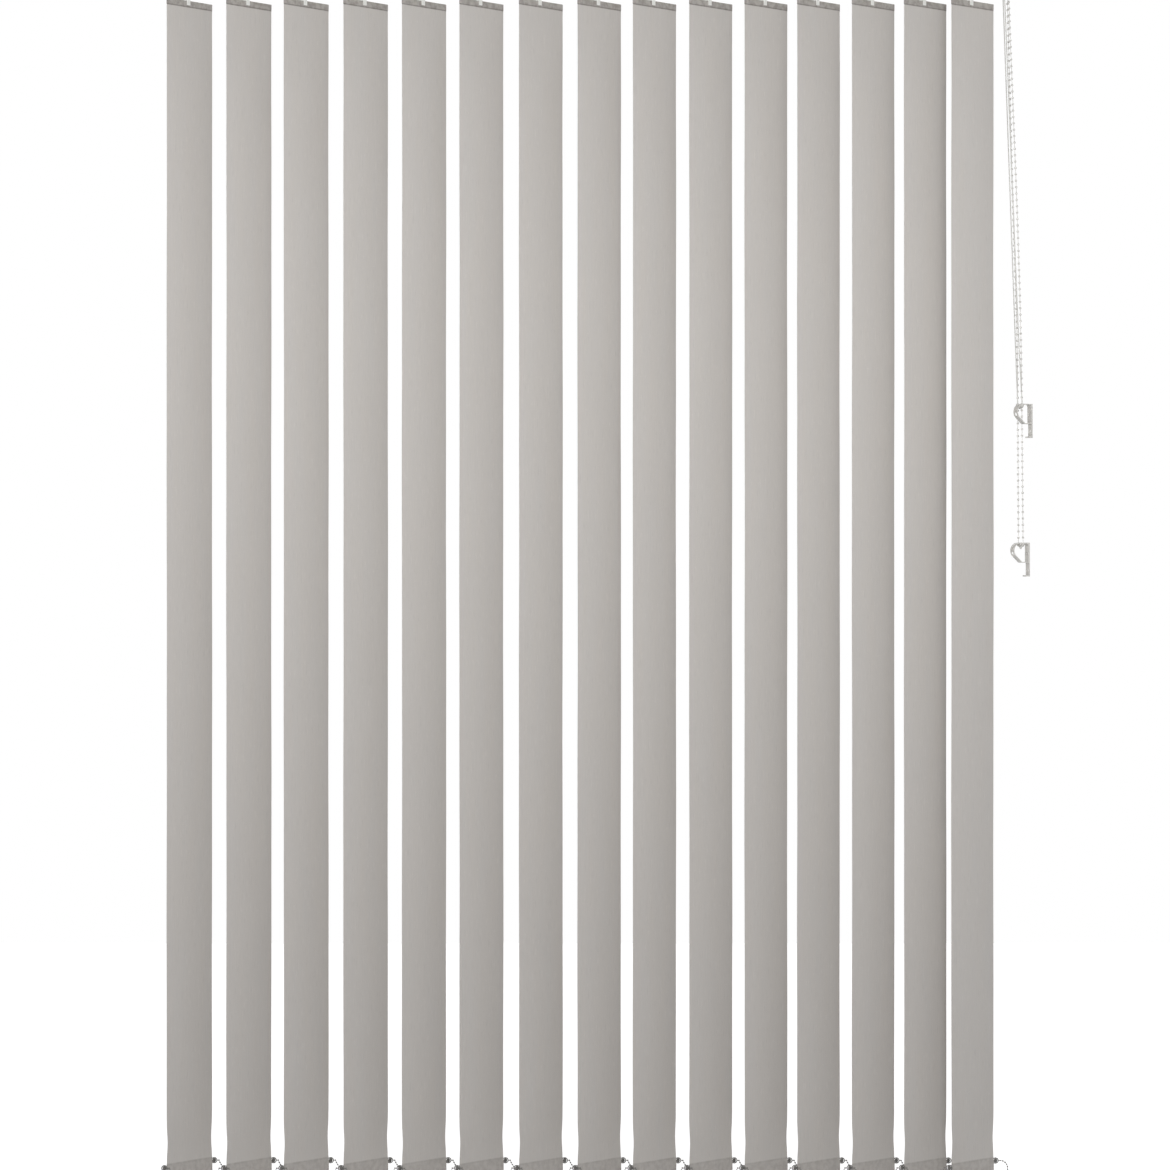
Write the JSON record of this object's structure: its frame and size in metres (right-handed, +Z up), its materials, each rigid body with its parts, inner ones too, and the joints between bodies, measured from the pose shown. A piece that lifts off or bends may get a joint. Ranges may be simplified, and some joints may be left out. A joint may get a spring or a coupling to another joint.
{
  "type": "vertical blind",
  "caption": "Vertical blind: fabric vanes with weighted feet hang from rolling carriers in a ceiling rail, drawn by a cord and turned by a bead chain, with wall clips.",
  "frame": {"origin": "centre of the ceiling face of the middle bracket", "axes": "+Z up, +X along the rail towards the controls, -Y towards the room"},
  "size_m": [1.664, 0.1208, 2.275],
  "materials": {
    "fabric": "woven warm light grey",
    "rail_white": "white powder coat",
    "white_plastic": "satin white",
    "clear_plastic": "milky clear",
    "rod_metal": "mill",
    "bracket_metal": "white",
    "cord_white": "braided",
    "chain_white": "moulded beads on a thread"
  },
  "bodies": {
    "root": {"headrail": "rail_white", "end_cap": "white_plastic", "control_housing": "white_plastic", "brackets": "bracket_metal", "cord_loop": "cord_white", "bead_chain": "chain_white", "clip_upper": "clear_plastic", "clip_lower": "clear_plastic", "carrier_15": "white_plastic"},
    "tilt_drive": {"tilt_rod": "rod_metal", "chain_wheel": "white_plastic"},
    "idler_pulley": {"idler_pulley": "white_plastic"},
    "guide_pulley_front": {"guide_pulley_front": "white_plastic"},
    "guide_pulley_back": {"guide_pulley_back": "white_plastic"},
    "foot_chain_front": {"foot_chain_front": "chain_white"},
    "foot_chain_back": {"foot_chain_back": "chain_white"},
    "carrier_01": {"carrier_01": "white_plastic"},
    "carrier_02": {"carrier_02": "white_plastic"},
    "carrier_03": {"carrier_03": "white_plastic"},
    "carrier_04": {"carrier_04": "white_plastic"},
    "carrier_05": {"carrier_05": "white_plastic"},
    "carrier_06": {"carrier_06": "white_plastic"},
    "carrier_07": {"carrier_07": "white_plastic"},
    "carrier_08": {"carrier_08": "white_plastic"},
    "carrier_09": {"carrier_09": "white_plastic"},
    "carrier_10": {"carrier_10": "white_plastic"},
    "carrier_11": {"carrier_11": "white_plastic"},
    "carrier_12": {"carrier_12": "white_plastic"},
    "carrier_13": {"carrier_13": "white_plastic"},
    "carrier_14": {"carrier_14": "white_plastic"},
    "hung_vane_01": {"stem_01": "clear_plastic", "vane_01": "fabric"},
    "hung_vane_02": {"stem_02": "clear_plastic", "vane_02": "fabric"},
    "hung_vane_03": {"stem_03": "clear_plastic", "vane_03": "fabric"},
    "hung_vane_04": {"stem_04": "clear_plastic", "vane_04": "fabric"},
    "hung_vane_05": {"stem_05": "clear_plastic", "vane_05": "fabric"},
    "hung_vane_06": {"stem_06": "clear_plastic", "vane_06": "fabric"},
    "hung_vane_07": {"stem_07": "clear_plastic", "vane_07": "fabric"},
    "hung_vane_08": {"stem_08": "clear_plastic", "vane_08": "fabric"},
    "hung_vane_09": {"stem_09": "clear_plastic", "vane_09": "fabric"},
    "hung_vane_10": {"stem_10": "clear_plastic", "vane_10": "fabric"},
    "hung_vane_11": {"stem_11": "clear_plastic", "vane_11": "fabric"},
    "hung_vane_12": {"stem_12": "clear_plastic", "vane_12": "fabric"},
    "hung_vane_13": {"stem_13": "clear_plastic", "vane_13": "fabric"},
    "hung_vane_14": {"stem_14": "clear_plastic", "vane_14": "fabric"},
    "hung_vane_15": {"stem_15": "clear_plastic", "vane_15": "fabric"}
  },
  "joints": [
    {"name": "traverse", "type": "slide", "parent": "root", "child": "carrier_01", "axis": [1, 0, 0], "range_m": [0, 1.0915]},
    {"name": "traverse_02", "type": "slide", "parent": "root", "child": "carrier_02", "axis": [1, 0, 0], "range_m": [0, 1.0087]},
    {"name": "traverse_03", "type": "slide", "parent": "root", "child": "carrier_03", "axis": [1, 0, 0], "range_m": [0, 0.9288]},
    {"name": "traverse_04", "type": "slide", "parent": "root", "child": "carrier_04", "axis": [1, 0, 0], "range_m": [0, 0.8459]},
    {"name": "traverse_05", "type": "slide", "parent": "root", "child": "carrier_05", "axis": [1, 0, 0], "range_m": [0, 0.7645]},
    {"name": "traverse_06", "type": "slide", "parent": "root", "child": "carrier_06", "axis": [1, 0, 0], "range_m": [0, 0.6846]},
    {"name": "traverse_07", "type": "slide", "parent": "root", "child": "carrier_07", "axis": [1, 0, 0], "range_m": [0, 0.6017]},
    {"name": "traverse_08", "type": "slide", "parent": "root", "child": "carrier_08", "axis": [1, 0, 0], "range_m": [0, 0.5203]},
    {"name": "traverse_09", "type": "slide", "parent": "root", "child": "carrier_09", "axis": [1, 0, 0], "range_m": [0, 0.4434]},
    {"name": "traverse_10", "type": "slide", "parent": "root", "child": "carrier_10", "axis": [1, 0, 0], "range_m": [0, 0.3649]},
    {"name": "traverse_11", "type": "slide", "parent": "root", "child": "carrier_11", "axis": [1, 0, 0], "range_m": [0, 0.288]},
    {"name": "traverse_12", "type": "slide", "parent": "root", "child": "carrier_12", "axis": [1, 0, 0], "range_m": [0, 0.2147]},
    {"name": "traverse_13", "type": "slide", "parent": "root", "child": "carrier_13", "axis": [1, 0, 0], "range_m": [0, 0.1385]},
    {"name": "traverse_14", "type": "slide", "parent": "root", "child": "carrier_14", "axis": [1, 0, 0], "range_m": [0, 0.066]},
    {"name": "tilt", "type": "hinge", "parent": "carrier_01", "child": "hung_vane_01", "pos_m": [-0.745, 0, -0.048], "axis": [0, 0, 1], "range_deg": [-37, 117]},
    {"name": "tilt_02", "type": "hinge", "parent": "carrier_02", "child": "hung_vane_02", "pos_m": [-0.633, 0, -0.048], "axis": [0, 0, 1], "range_deg": [-37, 117]},
    {"name": "tilt_03", "type": "hinge", "parent": "carrier_03", "child": "hung_vane_03", "pos_m": [-0.525, 0, -0.048], "axis": [0, 0, 1], "range_deg": [-37, 117]},
    {"name": "tilt_04", "type": "hinge", "parent": "carrier_04", "child": "hung_vane_04", "pos_m": [-0.413, 0, -0.048], "axis": [0, 0, 1], "range_deg": [-37, 117]},
    {"name": "tilt_05", "type": "hinge", "parent": "carrier_05", "child": "hung_vane_05", "pos_m": [-0.303, 0, -0.048], "axis": [0, 0, 1], "range_deg": [-37, 117]},
    {"name": "tilt_06", "type": "hinge", "parent": "carrier_06", "child": "hung_vane_06", "pos_m": [-0.195, 0, -0.048], "axis": [0, 0, 1], "range_deg": [-37, 117]},
    {"name": "tilt_07", "type": "hinge", "parent": "carrier_07", "child": "hung_vane_07", "pos_m": [-0.083, 0, -0.048], "axis": [0, 0, 1], "range_deg": [-37, 117]},
    {"name": "tilt_08", "type": "hinge", "parent": "carrier_08", "child": "hung_vane_08", "pos_m": [0.027, 0, -0.048], "axis": [0, 0, 1], "range_deg": [-37, 117]},
    {"name": "tilt_09", "type": "hinge", "parent": "carrier_09", "child": "hung_vane_09", "pos_m": [0.131, 0, -0.048], "axis": [0, 0, 1], "range_deg": [-37, 117]},
    {"name": "tilt_10", "type": "hinge", "parent": "carrier_10", "child": "hung_vane_10", "pos_m": [0.237, 0, -0.048], "axis": [0, 0, 1], "range_deg": [-37, 117]},
    {"name": "tilt_11", "type": "hinge", "parent": "carrier_11", "child": "hung_vane_11", "pos_m": [0.341, 0, -0.048], "axis": [0, 0, 1], "range_deg": [-37, 117]},
    {"name": "tilt_12", "type": "hinge", "parent": "carrier_12", "child": "hung_vane_12", "pos_m": [0.44, 0, -0.048], "axis": [0, 0, 1], "range_deg": [-37, 117]},
    {"name": "tilt_13", "type": "hinge", "parent": "carrier_13", "child": "hung_vane_13", "pos_m": [0.543, 0, -0.048], "axis": [0, 0, 1], "range_deg": [-37, 117]},
    {"name": "tilt_14", "type": "hinge", "parent": "carrier_14", "child": "hung_vane_14", "pos_m": [0.641, 0, -0.048], "axis": [0, 0, 1], "range_deg": [-37, 117]},
    {"name": "tilt_15", "type": "hinge", "parent": "root", "child": "hung_vane_15", "pos_m": [0.73, 0, -0.048], "axis": [0, 0, 1], "range_deg": [-37, 117]},
    {"name": "rod_turn", "type": "hinge", "parent": "root", "child": "tilt_drive", "pos_m": [0.797, 0.009, -0.02015], "axis": [1, 0, 0], "range_deg": [-222, 702]},
    {"name": "idler_pulley_spin", "type": "hinge", "parent": "root", "child": "idler_pulley", "pos_m": [-0.792, 0, -0.0091], "axis": [0, 0, 1], "range_deg": [0, 4469]},
    {"name": "guide_pulley_front_spin", "type": "hinge", "parent": "root", "child": "guide_pulley_front", "pos_m": [0.781, -0.014, -0.0161], "axis": [0, 1, 0], "range_deg": [0, 8936]},
    {"name": "guide_pulley_back_spin", "type": "hinge", "parent": "root", "child": "guide_pulley_back", "pos_m": [0.781, 0.014, -0.0161], "axis": [0, 1, 0], "range_deg": [-8936, 0]},
    {"name": "foot_chain_front_pivot", "type": "hinge", "parent": "hung_vane_08", "child": "foot_chain_front", "pos_m": [-0.018, -0.05362, -2.239], "axis": [0, 0, 1], "range_deg": [-117, 37], "deforming": ["foot_chain_front"]},
    {"name": "foot_chain_back_pivot", "type": "hinge", "parent": "hung_vane_08", "child": "foot_chain_back", "pos_m": [0.072, 0.05362, -2.239], "axis": [0, 0, 1], "range_deg": [-117, 37], "deforming": ["foot_chain_back"]}
  ],
  "couplings": [
    {"joint": "traverse_02", "follows": "traverse", "ratio": 0.92407},
    {"joint": "traverse_03", "follows": "traverse", "ratio": 0.85085},
    {"joint": "traverse_04", "follows": "traverse", "ratio": 0.77492},
    {"joint": "traverse_05", "follows": "traverse", "ratio": 0.70034},
    {"joint": "traverse_06", "follows": "traverse", "ratio": 0.62712},
    {"joint": "traverse_07", "follows": "traverse", "ratio": 0.55119},
    {"joint": "traverse_08", "follows": "traverse", "ratio": 0.47661},
    {"joint": "traverse_09", "follows": "traverse", "ratio": 0.4061},
    {"joint": "traverse_10", "follows": "traverse", "ratio": 0.33424},
    {"joint": "traverse_11", "follows": "traverse", "ratio": 0.26373},
    {"joint": "traverse_12", "follows": "traverse", "ratio": 0.19661},
    {"joint": "traverse_13", "follows": "traverse", "ratio": 0.12678},
    {"joint": "traverse_14", "follows": "traverse", "ratio": 0.060339},
    {"joint": "tilt_02", "follows": "tilt", "ratio": 1},
    {"joint": "tilt_03", "follows": "tilt", "ratio": 1},
    {"joint": "tilt_04", "follows": "tilt", "ratio": 1},
    {"joint": "tilt_05", "follows": "tilt", "ratio": 1},
    {"joint": "tilt_06", "follows": "tilt", "ratio": 1},
    {"joint": "tilt_07", "follows": "tilt", "ratio": 1},
    {"joint": "tilt_08", "follows": "tilt", "ratio": 1},
    {"joint": "tilt_09", "follows": "tilt", "ratio": 1},
    {"joint": "tilt_10", "follows": "tilt", "ratio": 1},
    {"joint": "tilt_11", "follows": "tilt", "ratio": 1},
    {"joint": "tilt_12", "follows": "tilt", "ratio": 1},
    {"joint": "tilt_13", "follows": "tilt", "ratio": 1},
    {"joint": "tilt_14", "follows": "tilt", "ratio": 1},
    {"joint": "tilt_15", "follows": "tilt", "ratio": 1},
    {"joint": "rod_turn", "follows": "tilt", "ratio": 6},
    {"joint": "idler_pulley_spin", "follows": "traverse", "rad_per_m": 71.429},
    {"joint": "guide_pulley_front_spin", "follows": "traverse", "rad_per_m": 142.86},
    {"joint": "guide_pulley_back_spin", "follows": "traverse", "rad_per_m": -142.86},
    {"joint": "foot_chain_front_pivot", "follows": "tilt", "ratio": -1},
    {"joint": "foot_chain_back_pivot", "follows": "tilt", "ratio": -1}
  ]
}
